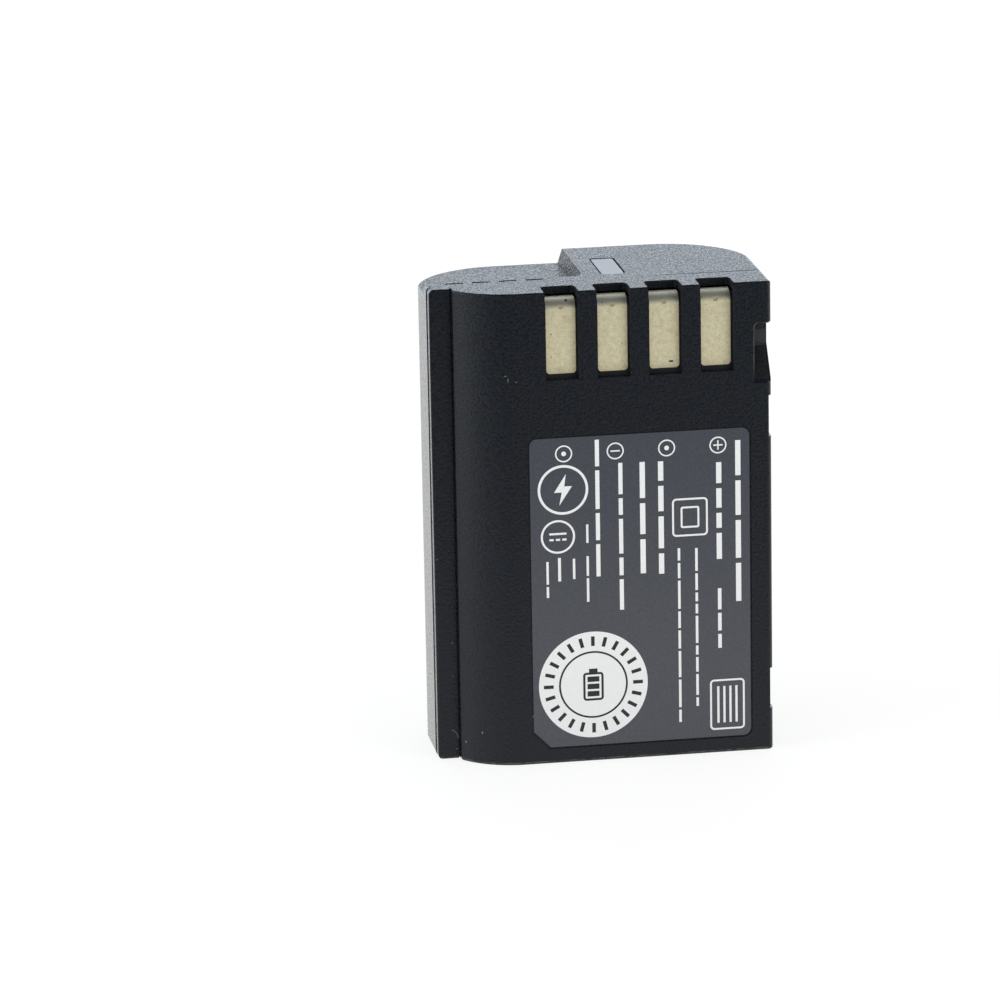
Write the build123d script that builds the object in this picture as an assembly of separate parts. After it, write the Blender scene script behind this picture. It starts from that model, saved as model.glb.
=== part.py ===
from build123d import *
from math import asin, cos, degrees, radians, sin, sqrt
import os

# Two-cell camera battery: a welded two-piece case, two round cells, a protection board and four contacts.
# Millimetres. The origin is the middle of the bottom face, +Z is up, the contacts face -Y, +X is right.

# Cells
CELL_DIAMETER = 18.1
CELL_LENGTH = 49.4
CELL_EDGE = 0.5
BUTTON_DIAMETER = 5.6
BUTTON_HEIGHT = 0.8
CRIMP_DEPTH = 0.6
CRIMP_WIDTH = 1.6
CRIMP_FROM_SHOULDER = 2.6
SLEEVE_THICKNESS = 0.1
CELL_SPACING = 0.1
CELL_CLEARANCE = 0.1

# Paper rings under the positive buttons
RING_MARGIN = 1.2
RING_CLEARANCE = 0.4
RING_THICKNESS = 0.2

# Case walls and seam
SIDE_WALL = 1.08
FRONT_WALL = 0.8
BOTTOM_WALL = 1.35
TOP_WALL = 0.9
TOP_CLEARANCE = 0.1
SEAM_DEPTH = 5.9
LIP_THICKNESS = 0.4
LIP_HEIGHT = 0.8
LIP_CLEARANCE = 0.05
RIM_RADIUS = 0.2
FOOT_BEVEL = 0.15
LEFT_RADIUS = 0.6
RIGHT_RADIUS = 0.4
SEAM_STEP = 0.08
SEAM_GAP = 0.2
FRONT_EDGE_RADIUS = 0.6
RAIL_EDGE_RADIUS = 0.2

# Bent left panel and guide rail
RAIL_WIDTH = 2.71
RAIL_SETBACK = 4.24
BEND_RUN = 6.86
BEND_RADIUS = 8.6
GROOVE_WIDTH = 0.22
GROOVE_DEPTH = 0.5

# Stepped top
RAISED_WIDTH = 20.53
STEP_DEPTH = 1.7
STEP_DRAFT_RUN = 0.55
DECK_WALL = 1.0
RIB_THICKNESS = 1.6
DECK_CORNER_RADIUS = 1.4
SLIT_COUNT = 4
SLIT_LENGTH = 2.1
SLIT_PITCH = 3.1
SLIT_WIDTH = 0.5
SLIT_DEPTH = 0.6
SLIT_FROM_LEFT = 2.4
SLIT_FROM_SEAM = 0.75

# Plug in the raised top
PLUG_WIDTH = 2.55
PLUG_LENGTH = 8.0
PLUG_THICKNESS = 0.6
PLUG_CLEARANCE = 0.2
PLUG_RECESS = 0.05
PLUG_RADIUS = 0.35
PLUG_FROM_STEP = 2.3
PLUG_FROM_SEAM = 1.95

# Contacts and the block that carries them
CONTACT_NAMES = ("contact_data", "contact_negative", "contact_thermistor", "contact_positive")
CONTACT_PITCH = 6.0
CONTACT_FROM_RIGHT = 6.35
CONTACT_WIDTH = 3.44
CONTACT_THICKNESS = 0.3
CONTACT_LENGTH = 8.75
CONTACT_BEND = 0.9
CONTACT_CORNER = 0.4
DIMPLE_SIZE = 0.5
DIMPLE_DEPTH = 0.15
DIMPLE_FROM_TOP = 0.95
SLOT_CLEARANCE = 0.2
SLOT_MARGIN = 0.6
TOP_NOTCH_DEPTH = 3.1
TOP_NOTCH_RADIUS = 0.4
POCKET_CLEARANCE = 0.05
BLOCK_WALL = 1.4
BLOCK_CLEARANCE = 0.05
BLOCK_END = 0.9
BLOCK_FOOT = 0.9
HEAD_DEPTH = 2.2
HEAD_HEIGHT = 2.3

# Latch notch and shallow recesses on the right side
NOTCH_FROM_TOP = 4.95
NOTCH_HEIGHT = 6.85
NOTCH_WIDTH = 1.98
NOTCH_DEPTH = 3.0
NOTCH_RAMP = 3.9
NOTCH_LEDGE = 0.4
NOTCH_WALL = 0.8
NOTCH_RADIUS = 0.5
NOTCH_EDGE = 0.15
SIDE_RECESS_DEPTH = 0.35
SIDE_RECESS_HEIGHT = 4.85
SIDE_RECESS_RUN = 4.0
LOW_RECESS_FROM_BOTTOM = 5.05
HIGH_RECESS_FROM_TOP = 13.5

# Label in its recess
LABEL_WIDTH = 25.65
LABEL_HEIGHT = 37.05
LABEL_THICKNESS = 0.12
LABEL_RADIUS = 0.9
LABEL_CUT = 2.0
LABEL_FROM_RIGHT = 2.68
LABEL_FROM_BOTTOM = 1.95
LABEL_CLEARANCE = 0.2
LABEL_RECESS = 0.15

# Insulating sheets, nickel strips and foam
SHEET_THICKNESS = 0.3
SHEET_CLEARANCE = 0.3
SHEET_OVERHANG = 0.8
SHEET_SLOT = 0.4
STRIP_THICKNESS = 0.2
STRIP_BEND = 0.35
LINK_WIDTH = 6.0
LINK_END = 3.0
LINK_RADIUS = 1.0
WELD_SLOT_LENGTH = 3.6
WELD_SLOT_WIDTH = 0.6
MIDPOINT_WIDTH = 2.4
MIDPOINT_CLEARANCE = 0.3
TAB_WIDTH = 4.0
TAB_START = 2.4
TAB_FOOT = 1.8
TAB_CLEARANCE = 0.4
PAD_WIDTH = 4.0
PAD_HEIGHT = 36.0
PAD_CLEARANCE = 0.1

# Board and what is soldered on it
BOARD_THICKNESS = 0.8
BOARD_SIDE = 3.4
BOARD_CLEARANCE = 0.1
BOARD_RADIUS = 0.6
CHIP_LIFT = 0.08
CHIP_BEVEL = 0.12
LEAD_LENGTH = 0.6
LEAD_WIDTH = 0.3
LEAD_HEIGHT = 0.18
PROTECTION_LENGTH = 4.4
PROTECTION_WIDTH = 3.0
PROTECTION_HEIGHT = 1.0
PROTECTION_LEAD_COUNT = 4
GAUGE_LENGTH = 3.4
GAUGE_WIDTH = 2.6
GAUGE_HEIGHT = 0.9
GAUGE_LEAD_COUNT = 3
SWITCH_LENGTH = 3.0
SWITCH_WIDTH = 2.4
SWITCH_HEIGHT = 0.9
SWITCH_LEAD_COUNT = 3
RESISTOR_LENGTH = 3.2
RESISTOR_WIDTH = 1.6
RESISTOR_HEIGHT = 0.6
FUSE_LENGTH = 3.0
FUSE_WIDTH = 1.5
FUSE_HEIGHT = 0.8
CAP_LENGTH = 0.5
CAP_RISE = 0.06
PART_GAP = 1.0
FOOT_GAP = 0.4
BEAD_DIAMETER = 1.8
BEAD_LENGTH = 2.6
BEAD_BEVEL = 0.5
BEAD_DROP = 4.5
BEAD_ANGLE = 42.0
BEAD_CLEARANCE = 0.05
WIRE_SIZE = 0.3
WIRE_SPACING = 0.9

# Radii and the plan, from the cells outwards
cell_radius = CELL_DIAMETER / 2
sleeve_radius = cell_radius + SLEEVE_THICKNESS
pocket_radius = sleeve_radius + CELL_CLEARANCE
corner_radius = pocket_radius + SIDE_WALL
cell_x = sleeve_radius + CELL_SPACING / 2
width = 2 * (cell_x + corner_radius)
depth = corner_radius + pocket_radius + BLOCK_CLEARANCE + BLOCK_WALL + CONTACT_THICKNESS + FRONT_WALL
left_x = -width / 2
right_x = width / 2
front_y = -depth / 2
rear_y = depth / 2
cell_y = rear_y - corner_radius
seam_y = front_y + SEAM_DEPTH
inner_front_y = front_y + FRONT_WALL
rail_x = left_x + SEAM_STEP
rail_y = front_y + RAIL_SETBACK
groove_x = left_x + RAIL_WIDTH
bend_x = groove_x + BEND_RUN
bend_centre_y = front_y + BEND_RADIUS

# Levels, from the bottom up
link_z = BOTTOM_WALL + SHEET_THICKNESS
cell_z = link_z + STRIP_THICKNESS
cell_top = cell_z + CELL_LENGTH
sheet_z = cell_top + STRIP_THICKNESS
board_z = sheet_z + SHEET_THICKNESS
board_top = board_z + BOARD_THICKNESS
head_top = board_top + HEAD_HEIGHT
contact_top = head_top + CONTACT_THICKNESS
ceiling_z = contact_top + TOP_CLEARANCE
height = ceiling_z + TOP_WALL
deck_z = height - STEP_DEPTH
contact_bottom = contact_top - CONTACT_LENGTH

# Places of the contacts, the board and the strips
last_contact_x = right_x - CONTACT_FROM_RIGHT
contact_x = [last_contact_x - CONTACT_PITCH * step for step in reversed(range(len(CONTACT_NAMES)))]
slot_width = CONTACT_WIDTH + 2 * SLOT_CLEARANCE
seat_y = inner_front_y + CONTACT_THICKNESS
block_rear_y = seat_y + BLOCK_WALL
head_rear_y = seat_y + HEAD_DEPTH
block_left = contact_x[0] - slot_width / 2 - BLOCK_END
block_right = contact_x[-1] + slot_width / 2 + BLOCK_END
block_z = contact_bottom - BLOCK_FOOT
board_left = -cell_x - BOARD_SIDE
board_right = block_right
board_front = block_rear_y + BOARD_CLEARANCE
front_row_y = head_rear_y + CONTACT_THICKNESS + PART_GAP + LEAD_LENGTH + PROTECTION_WIDTH / 2
rear_row_y = front_row_y + PROTECTION_WIDTH / 2 + 2 * LEAD_LENGTH + PART_GAP + SWITCH_WIDTH / 2
board_rear = rear_row_y + SWITCH_WIDTH / 2 + LEAD_LENGTH + FOOT_GAP + TAB_FOOT
midpoint_y = cell_y - sqrt(sleeve_radius**2 - (cell_x - MIDPOINT_WIDTH / 2) ** 2) - MIDPOINT_CLEARANCE
rib_y = seam_y + RIB_THICKNESS
step_x = right_x - RAISED_WIDTH
bead_reach = sleeve_radius + BEAD_DIAMETER / 2 + BEAD_CLEARANCE
bead_x = cell_x - bead_reach * cos(radians(BEAD_ANGLE))
bead_y = cell_y - bead_reach * sin(radians(BEAD_ANGLE))

# A cutter runs this far past the face that it opens
PAST = 1.0


def span(x0, x1, y0, y1, z0, z1):
    """Block between two planes on each axis."""
    return Pos((x0 + x1) / 2, (y0 + y1) / 2, (z0 + z1) / 2) * Box(x1 - x0, y1 - y0, z1 - z0)


def near(shape, *point):
    """Vertex of a sketch nearest to a point."""
    return shape.vertices().sort_by_distance(point)[0]


def front_plan(wall):
    """Plan of the front half, set in by a wall: flat front, panel bent back on the left."""
    side = right_x - (SIDE_WALL if wall else 0)
    radius = BEND_RADIUS - wall
    angle = degrees(asin((BEND_RUN - wall) / radius))
    with BuildSketch() as plan:
        with BuildLine():
            bend = CenterArc((bend_x, bend_centre_y), radius, 270 - angle, angle)
            if wall:
                Polyline(bend @ 1, (side, front_y + wall), (side, seam_y), ((bend @ 0).X, seam_y), bend @ 0)
            else:
                Polyline(bend @ 1, (side, front_y), (side, seam_y), (rail_x, seam_y), (rail_x, rail_y),
                         (groove_x, rail_y), bend @ 0)
        make_face()
        if not wall:
            fillet(near(plan, right_x, front_y, 0), FRONT_EDGE_RADIUS)
            fillet(near(plan, rail_x, rail_y, 0), RAIL_EDGE_RADIUS)
    return plan.sketch


def rear_plan(wall):
    """Plan of the rear half, set in by a wall: its corners run round the cells."""
    length = rear_y - wall - seam_y
    with BuildSketch() as plan:
        with Locations((0, seam_y + length / 2)):
            Rectangle(width - 2 * wall, length)
        fillet(plan.vertices().group_by(Axis.Y)[-1], corner_radius - wall)
    return plan.sketch


def round_rims(body, outside, side_x):
    """Round the top rim of a case half, bevel its bottom rim and round the long edges of its sides."""
    levels = body.edges().filter_by(Axis.Z, reverse=True).group_by(Axis.Z)
    body = chamfer(levels[0].filter_by(lambda edge: outside(edge.center().Y)), FOOT_BEVEL)
    top = body.edges().group_by(Axis.Z)[-1]
    body = fillet(top.filter_by(lambda edge: outside(edge.center().Y)), RIM_RADIUS)
    for edge_x, inward, radius in ((side_x, 1, LEFT_RADIUS), (right_x, -1, RIGHT_RADIUS)):
        bar = Rot(90, 0, 0) * Cylinder(radius, depth + 2 * PAST)
        middle_x = edge_x + inward * radius
        x0, x1 = sorted((edge_x - inward * PAST, middle_x))
        high_z = height - radius
        for middle_z, z0, z1 in ((radius, -PAST, radius), (high_z, high_z, height + PAST)):
            corner = span(x0, x1, front_y - PAST, rear_y + PAST, z0, z1)
            body -= corner - Pos(middle_x, 0, middle_z) * bar
    return body


def seam_line():
    """Open line at the weld, cut from the front half: right side, bottom and right end of the top."""
    y0 = seam_y - SEAM_GAP
    line = span(right_x - SEAM_GAP, right_x + PAST, y0, seam_y, -PAST, height + PAST)
    line += span(left_x, right_x, y0, seam_y, -PAST, SEAM_GAP)
    return line + span(contact_x[-2], right_x, y0, seam_y, height - SEAM_GAP, height + PAST)


def label_outline(margin):
    """Label with three round corners and one cut corner, grown by a margin."""
    right = right_x - LABEL_FROM_RIGHT + margin
    left = right - LABEL_WIDTH - 2 * margin
    low = LABEL_FROM_BOTTOM - margin
    high = low + LABEL_HEIGHT + 2 * margin
    with BuildSketch() as outline:
        with BuildLine():
            Polyline((left + LABEL_CUT, low), (right, low), (right, high), (left, high),
                     (left, low + LABEL_CUT), close=True)
        make_face()
        for corner in ((right, low), (right, high), (left, high)):
            fillet(near(outline, *corner, 0), LABEL_RADIUS + margin)
    return Plane((0, front_y + LABEL_RECESS, 0), x_dir=(1, 0, 0), z_dir=(0, -1, 0)) * outline.sketch


def lip(margin):
    """Weld lip round the inside of the seam, grown by a margin to make its rebate."""
    reach = LIP_THICKNESS + margin
    y0 = seam_y - LIP_HEIGHT - margin
    inside_x = right_x - SIDE_WALL
    outer = span(-inside_x - reach, inside_x + reach, y0, seam_y, BOTTOM_WALL - reach, ceiling_z + reach)
    inner = span(-inside_x + margin, inside_x - margin, y0, seam_y, BOTTOM_WALL + margin, ceiling_z - margin)
    return outer - inner


def contact_slot(x):
    """Slot for one contact: through the front wall and open at the top."""
    z0 = contact_bottom - SLOT_MARGIN
    half = slot_width / 2
    opening = span(x - half, x + half, front_y - PAST, inner_front_y, z0, height + PAST)
    notch = span(x - half, x + half, front_y, front_y + TOP_NOTCH_DEPTH, ceiling_z, height + PAST)
    corners = notch.edges().filter_by(Axis.Z).group_by(Axis.Y)[-1]
    return opening + fillet(corners, TOP_NOTCH_RADIUS)


def latch_notch():
    """Notch in the right front edge: deep at the top, with a ramp below."""
    z1 = height - NOTCH_FROM_TOP
    z0 = z1 - NOTCH_HEIGHT
    with BuildSketch(Plane.YZ) as profile:
        with BuildLine():
            Polyline((front_y - PAST, z0), (front_y + NOTCH_LEDGE, z0),
                     (front_y + NOTCH_DEPTH, z0 + NOTCH_RAMP), (front_y + NOTCH_DEPTH, z1),
                     (front_y - PAST, z1), close=True)
        make_face()
    body = Pos(right_x - NOTCH_WIDTH, 0, 0) * extrude(profile.sketch, NOTCH_WIDTH + PAST)
    corner = body.edges().filter_by(Axis.Y).sort_by_distance((right_x - NOTCH_WIDTH, front_y, z1))[0]
    return fillet(corner, NOTCH_RADIUS)


def make_front_case():
    """Front half of the case, moulded: slots, label recess, bent panel, rail, latch notch."""
    body = round_rims(extrude(front_plan(0), height), lambda y: y < seam_y - RIM_RADIUS, rail_x)
    hollow = Pos(0, 0, BOTTOM_WALL) * extrude(front_plan(FRONT_WALL), ceiling_z - BOTTOM_WALL)
    pocket = Cylinder(pocket_radius, ceiling_z - BOTTOM_WALL, align=(Align.CENTER, Align.CENTER, Align.MIN))
    for x in (-cell_x, cell_x):
        hollow += Pos(x, cell_y, BOTTOM_WALL) * pocket
    body -= hollow
    notch_z = height - NOTCH_FROM_TOP
    body += span(right_x - NOTCH_WIDTH - NOTCH_WALL, right_x - SIDE_WALL,
                 inner_front_y, front_y + NOTCH_DEPTH + NOTCH_WALL,
                 notch_z - NOTCH_HEIGHT - NOTCH_WALL, notch_z + NOTCH_WALL)
    body -= latch_notch()
    mouth = body.edges().filter_by_position(Axis.Y, front_y - NOTCH_EDGE, front_y + NOTCH_EDGE)
    mouth = mouth.filter_by_position(Axis.X, right_x - NOTCH_WIDTH - NOTCH_EDGE, right_x - FRONT_EDGE_RADIUS)
    mouth = mouth.filter_by_position(Axis.Z, notch_z - NOTCH_HEIGHT - NOTCH_EDGE, notch_z + NOTCH_EDGE)
    body = chamfer(mouth, NOTCH_EDGE)
    for x in contact_x:
        body -= contact_slot(x)
    body -= extrude(label_outline(LABEL_CLEARANCE), LABEL_RECESS + PAST)
    body -= span(groove_x - GROOVE_WIDTH, groove_x, rail_y - PAST, rail_y + GROOVE_DEPTH,
                 -PAST, height + PAST)
    for z in (LOW_RECESS_FROM_BOTTOM, height - HIGH_RECESS_FROM_TOP - SIDE_RECESS_HEIGHT):
        body -= span(right_x - SIDE_RECESS_DEPTH, right_x + PAST, front_y - PAST, front_y + SIDE_RECESS_RUN,
                     z, z + SIDE_RECESS_HEIGHT)
    return body - lip(LIP_CLEARANCE) - seam_line()


def lower_deck():
    """What is cut off the top left: drafted step wall, round inner corner, open to the left and rear."""
    foot_x = step_x - STEP_DRAFT_RUN
    slope = STEP_DRAFT_RUN / STEP_DEPTH
    with BuildSketch(Plane.XZ) as profile:
        with BuildLine():
            Polyline((left_x - PAST, deck_z), (foot_x, deck_z), (step_x + slope * PAST, height + PAST),
                     (left_x - PAST, height + PAST), close=True)
        make_face()
    cut = Pos(0, rib_y, 0) * extrude(profile.sketch, -(rear_y + PAST - rib_y))
    corner = cut.edges().sort_by_distance((step_x, rib_y, height))[0]
    return fillet(corner, DECK_CORNER_RADIUS)


def plug_outline(margin):
    """Round-cornered outline of the plug in the raised top, grown by a margin."""
    x = step_x + PLUG_FROM_STEP + PLUG_WIDTH / 2
    y = seam_y + PLUG_FROM_SEAM + PLUG_LENGTH / 2
    outline = RectangleRounded(PLUG_WIDTH + 2 * margin, PLUG_LENGTH + 2 * margin, PLUG_RADIUS + margin)
    return Pos(x, y, height - PLUG_RECESS - PLUG_THICKNESS) * outline


def make_rear_case():
    """Rear half of the case, moulded: round behind the cells, stepped top, weld lip."""
    body = round_rims(extrude(rear_plan(0), height), lambda y: y > seam_y + RIM_RADIUS, left_x)
    hollow = Pos(0, 0, BOTTOM_WALL) * extrude(rear_plan(SIDE_WALL), ceiling_z - BOTTOM_WALL)
    hollow -= span(left_x, step_x + DECK_WALL, rib_y - DECK_WALL, rear_y, deck_z - DECK_WALL, height)
    body -= hollow
    body -= lower_deck()
    body -= extrude(plug_outline(PLUG_CLEARANCE), PLUG_THICKNESS + PLUG_RECESS + PAST)
    for slit in range(SLIT_COUNT):
        x = left_x + SLIT_FROM_LEFT + slit * SLIT_PITCH
        y = seam_y + SLIT_FROM_SEAM
        body -= span(x, x + SLIT_LENGTH, y, y + SLIT_WIDTH, height - SLIT_DEPTH, height + PAST)
    return body + lip(0)


def make_terminal_block():
    """Holder behind the front wall: ribs between the contacts, and a head that stands on the board."""
    with BuildSketch(Plane.YZ) as profile:
        with BuildLine():
            Polyline((seat_y, block_z), (seat_y, head_top), (head_rear_y, head_top),
                     (head_rear_y, board_top), (block_rear_y, board_top), (block_rear_y, block_z),
                     close=True)
        make_face()
        fillet(profile.vertices().group_by(Axis.Y)[-1], CONTACT_BEND)
    body = Pos(block_left, 0, 0) * extrude(profile.sketch, block_right - block_left)
    ribs = span(block_left, block_right, inner_front_y, seat_y, block_z, head_top - CONTACT_BEND)
    half = CONTACT_WIDTH / 2 + POCKET_CLEARANCE
    for x in contact_x:
        ribs -= span(x - half, x + half, inner_front_y, seat_y,
                     contact_bottom - POCKET_CLEARANCE, head_top)
    return body + ribs


def bent_strip(points, thickness, bend, strip_width, x):
    """Flat strip bent along a line of (y, z) points through the middle of its thickness."""
    with BuildSketch(Plane.YZ) as section:
        with BuildLine():
            FilletPolyline(*points, radius=bend + thickness / 2)
        trace(line_width=thickness)
    return Pos(x, 0, 0) * extrude(section.sketch, strip_width / 2, both=True)


def make_contact(x):
    """Plated contact: a flat face in the slot with a small stake mark, bent over the block to the board."""
    half = CONTACT_THICKNESS / 2
    path = [(seat_y - half, contact_bottom), (seat_y - half, head_top + half),
            (head_rear_y + half, head_top + half), (head_rear_y + half, board_top)]
    body = bent_strip(path, CONTACT_THICKNESS, CONTACT_BEND, CONTACT_WIDTH, x)
    body = fillet(body.edges().filter_by(Axis.Y).group_by(Axis.Z)[0], CONTACT_CORNER)
    dimple = Box(DIMPLE_SIZE, 2 * DIMPLE_DEPTH, DIMPLE_SIZE)
    return body - Pos(x, inner_front_y, contact_top - DIMPLE_FROM_TOP) * dimple


def make_cell():
    """Round cell standing on its flat end, with a crimped neck and a button on top."""
    shoulder = CELL_LENGTH - BUTTON_HEIGHT
    crimp = shoulder - CRIMP_FROM_SHOULDER
    with BuildSketch(Plane.XZ) as profile:
        with BuildLine():
            Polyline((0, 0), (cell_radius, 0), (cell_radius, crimp - CRIMP_WIDTH / 2),
                     (cell_radius - CRIMP_DEPTH, crimp), (cell_radius, crimp + CRIMP_WIDTH / 2),
                     (cell_radius, shoulder), (BUTTON_DIAMETER / 2, shoulder),
                     (BUTTON_DIAMETER / 2, CELL_LENGTH), (0, CELL_LENGTH), close=True)
        make_face()
        chamfer([near(profile, cell_radius, 0, 0), near(profile, cell_radius, shoulder, 0)], CELL_EDGE)
    return revolve(profile.sketch, Axis.Z)


def make_sleeve():
    """Shrink sleeve on one cell, as tall as its can."""
    with BuildSketch() as ring:
        Circle(sleeve_radius)
        Circle(cell_radius, mode=Mode.SUBTRACT)
    return extrude(ring.sketch, CELL_LENGTH - BUTTON_HEIGHT)


def make_ring():
    """Paper ring round the button of one cell."""
    with BuildSketch() as ring:
        Circle(cell_radius - RING_MARGIN)
        Circle(BUTTON_DIAMETER / 2 + RING_CLEARANCE, mode=Mode.SUBTRACT)
    return Pos(0, 0, CELL_LENGTH - BUTTON_HEIGHT) * extrude(ring.sketch, RING_THICKNESS)


def stand(piece, x, button_up):
    """Place a cell, or what belongs to it, with its button up or down."""
    if button_up:
        return Pos(x, cell_y, cell_z) * piece
    return Pos(x, cell_y, cell_top) * Rot(180, 0, 0) * piece


def make_series_link():
    """Nickel strip welded across the bottoms of both cells."""
    with BuildSketch() as outline:
        RectangleRounded(2 * (cell_x + LINK_END), LINK_WIDTH, LINK_RADIUS)
        with Locations((-cell_x, 0), (cell_x, 0)):
            Rectangle(WELD_SLOT_LENGTH, WELD_SLOT_WIDTH, mode=Mode.SUBTRACT)
    return Pos(0, cell_y, link_z) * extrude(outline.sketch, STRIP_THICKNESS)


def make_midpoint_tab():
    """Nickel strip from the link up the valley between the cells to the board."""
    half = STRIP_THICKNESS / 2
    path = [(cell_y - LINK_WIDTH / 2, link_z + half), (midpoint_y - half, link_z + half),
            (midpoint_y - half, board_z)]
    return bent_strip(path, STRIP_THICKNESS, STRIP_BEND, MIDPOINT_WIDTH, 0)


def make_cell_tab(x):
    """Nickel tab from the top of a cell, round the rear edge of the board and on to it."""
    half = STRIP_THICKNESS / 2
    rise_y = board_rear + TAB_CLEARANCE + half
    path = [(cell_y - TAB_START, cell_top + half), (rise_y, cell_top + half),
            (rise_y, board_top + half), (board_rear - TAB_FOOT, board_top + half)]
    return bent_strip(path, STRIP_THICKNESS, STRIP_BEND, TAB_WIDTH, x)


def make_bottom_insulator():
    """Sheet on the floor of the rear half, under the link."""
    sheet = extrude(rear_plan(SIDE_WALL + SHEET_CLEARANCE), SHEET_THICKNESS)
    return Pos(0, 0, BOTTOM_WALL) * sheet


def make_top_insulator():
    """Sheet between the cells and the board, with slots for the midpoint strip and the bead's wires."""
    sheet = span(board_left - SHEET_OVERHANG, board_right, board_front, board_rear, sheet_z, board_z)
    half = MIDPOINT_WIDTH / 2 + SHEET_SLOT
    sheet -= span(-half, half, midpoint_y - STRIP_THICKNESS - SHEET_SLOT, midpoint_y + SHEET_SLOT,
                  sheet_z, board_z)
    half = (WIRE_SPACING + WIRE_SIZE) / 2 + SHEET_SLOT
    reach = WIRE_SIZE / 2 + SHEET_SLOT
    return sheet - span(bead_x - half, bead_x + half, bead_y - reach, bead_y + reach, sheet_z, board_z)


def make_cell_pad():
    """Foam strip that fills the valley between the cells at the rear wall."""
    front = cell_y + sqrt(sleeve_radius**2 - (cell_x - PAD_WIDTH / 2) ** 2) + PAD_CLEARANCE
    middle = (cell_z + cell_top) / 2
    return span(-PAD_WIDTH / 2, PAD_WIDTH / 2, front, rear_y - SIDE_WALL,
                middle - PAD_HEIGHT / 2, middle + PAD_HEIGHT / 2)


def make_board():
    """Protection board over the cells."""
    outline = RectangleRounded(board_right - board_left, board_rear - board_front, BOARD_RADIUS)
    place = Pos((board_left + board_right) / 2, (board_front + board_rear) / 2, board_z)
    return place * extrude(outline, BOARD_THICKNESS)


def make_chip(length, chip_width, chip_height, leads):
    """Moulded chip on the board: bevelled body and a row of leads on both long sides."""
    body = span(-length / 2, length / 2, -chip_width / 2, chip_width / 2, CHIP_LIFT, chip_height)
    body = chamfer(body.edges().group_by(Axis.Z)[-1], CHIP_BEVEL)
    reach = chip_width / 2 + LEAD_LENGTH
    for number in range(leads):
        x = (number - (leads - 1) / 2) * length / leads
        body += span(x - LEAD_WIDTH / 2, x + LEAD_WIDTH / 2, -reach, reach, 0, LEAD_HEIGHT)
    return body


def make_capped_part(length, part_width, part_height):
    """Two-terminal chip part: a body between two slightly larger end caps."""
    body = span(-length / 2, length / 2, -part_width / 2, part_width / 2, CAP_RISE, part_height)
    for end in (-1, 1):
        x0 = end * length / 2
        x1 = end * (length / 2 - CAP_LENGTH)
        body += span(min(x0, x1), max(x0, x1), -part_width / 2 - CAP_RISE, part_width / 2 + CAP_RISE,
                     0, part_height + CAP_RISE)
    return body


def make_thermistor():
    """Resin bead against the right cell, with two square wires up to the board."""
    bead_z = board_z - BEAD_DROP
    bead = Cylinder(BEAD_DIAMETER / 2, BEAD_LENGTH)
    body = Pos(bead_x, bead_y, bead_z) * chamfer(bead.edges().filter_by(GeomType.CIRCLE), BEAD_BEVEL)
    bottom = (Align.CENTER, Align.CENTER, Align.MIN)
    for side in (-1, 1):
        wire = Box(WIRE_SIZE, WIRE_SIZE, BEAD_DROP, align=bottom)
        body += Pos(bead_x + side * WIRE_SPACING / 2, bead_y, bead_z) * wire
    return body


def place_on_board():
    """Set the chips in two rows on the part of the board that lies under the raised top."""
    protection = make_chip(PROTECTION_LENGTH, PROTECTION_WIDTH, PROTECTION_HEIGHT, PROTECTION_LEAD_COUNT)
    gauge = make_chip(GAUGE_LENGTH, GAUGE_WIDTH, GAUGE_HEIGHT, GAUGE_LEAD_COUNT)
    resistor = make_capped_part(RESISTOR_LENGTH, RESISTOR_WIDTH, RESISTOR_HEIGHT)
    switch = make_chip(SWITCH_LENGTH, SWITCH_WIDTH, SWITCH_HEIGHT, SWITCH_LEAD_COUNT)
    fuse = make_capped_part(FUSE_LENGTH, FUSE_WIDTH, FUSE_HEIGHT)
    rows = {
        front_row_y: (("protection_ic", protection, PROTECTION_LENGTH), ("gauge_ic", gauge, GAUGE_LENGTH),
                      ("sense_resistor", resistor, RESISTOR_LENGTH)),
        rear_row_y: (("charge_switch", switch, SWITCH_LENGTH), ("discharge_switch", switch, SWITCH_LENGTH),
                     ("chip_fuse", fuse, FUSE_LENGTH)),
    }
    placed = {}
    for row_y, row in rows.items():
        x = step_x + DECK_WALL + PART_GAP
        for name, chip, length in row:
            placed[name] = Pos(x + length / 2, row_y, board_top) * chip
            x += length + PART_GAP
    return placed


pieces = {
    "front_case": make_front_case(),
    "rear_case": make_rear_case(),
    "front_label": extrude(label_outline(0), LABEL_THICKNESS),
    "seal_plate": extrude(plug_outline(0), PLUG_THICKNESS),
    "terminal_block": make_terminal_block(),
    "cell_left": stand(make_cell(), -cell_x, True),
    "cell_right": stand(make_cell(), cell_x, False),
    "sleeve_left": stand(make_sleeve(), -cell_x, True),
    "sleeve_right": stand(make_sleeve(), cell_x, False),
    "ring_left": stand(make_ring(), -cell_x, True),
    "ring_right": stand(make_ring(), cell_x, False),
    "series_link": make_series_link(),
    "midpoint_tab": make_midpoint_tab(),
    "positive_tab": make_cell_tab(-cell_x),
    "negative_tab": make_cell_tab(cell_x),
    "bottom_insulator": make_bottom_insulator(),
    "top_insulator": make_top_insulator(),
    "cell_pad": make_cell_pad(),
    "circuit_board": make_board(),
    "thermistor": make_thermistor(),
}
for contact_name, x_place in zip(CONTACT_NAMES, contact_x):
    pieces[contact_name] = make_contact(x_place)
pieces.update(place_on_board())

os.makedirs("parts", exist_ok=True)
for node, shape in pieces.items():
    export_step(shape, f"parts/{node}.step")
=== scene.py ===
import math

import bmesh
import bpy
from mathutils import Matrix, Vector


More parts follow.
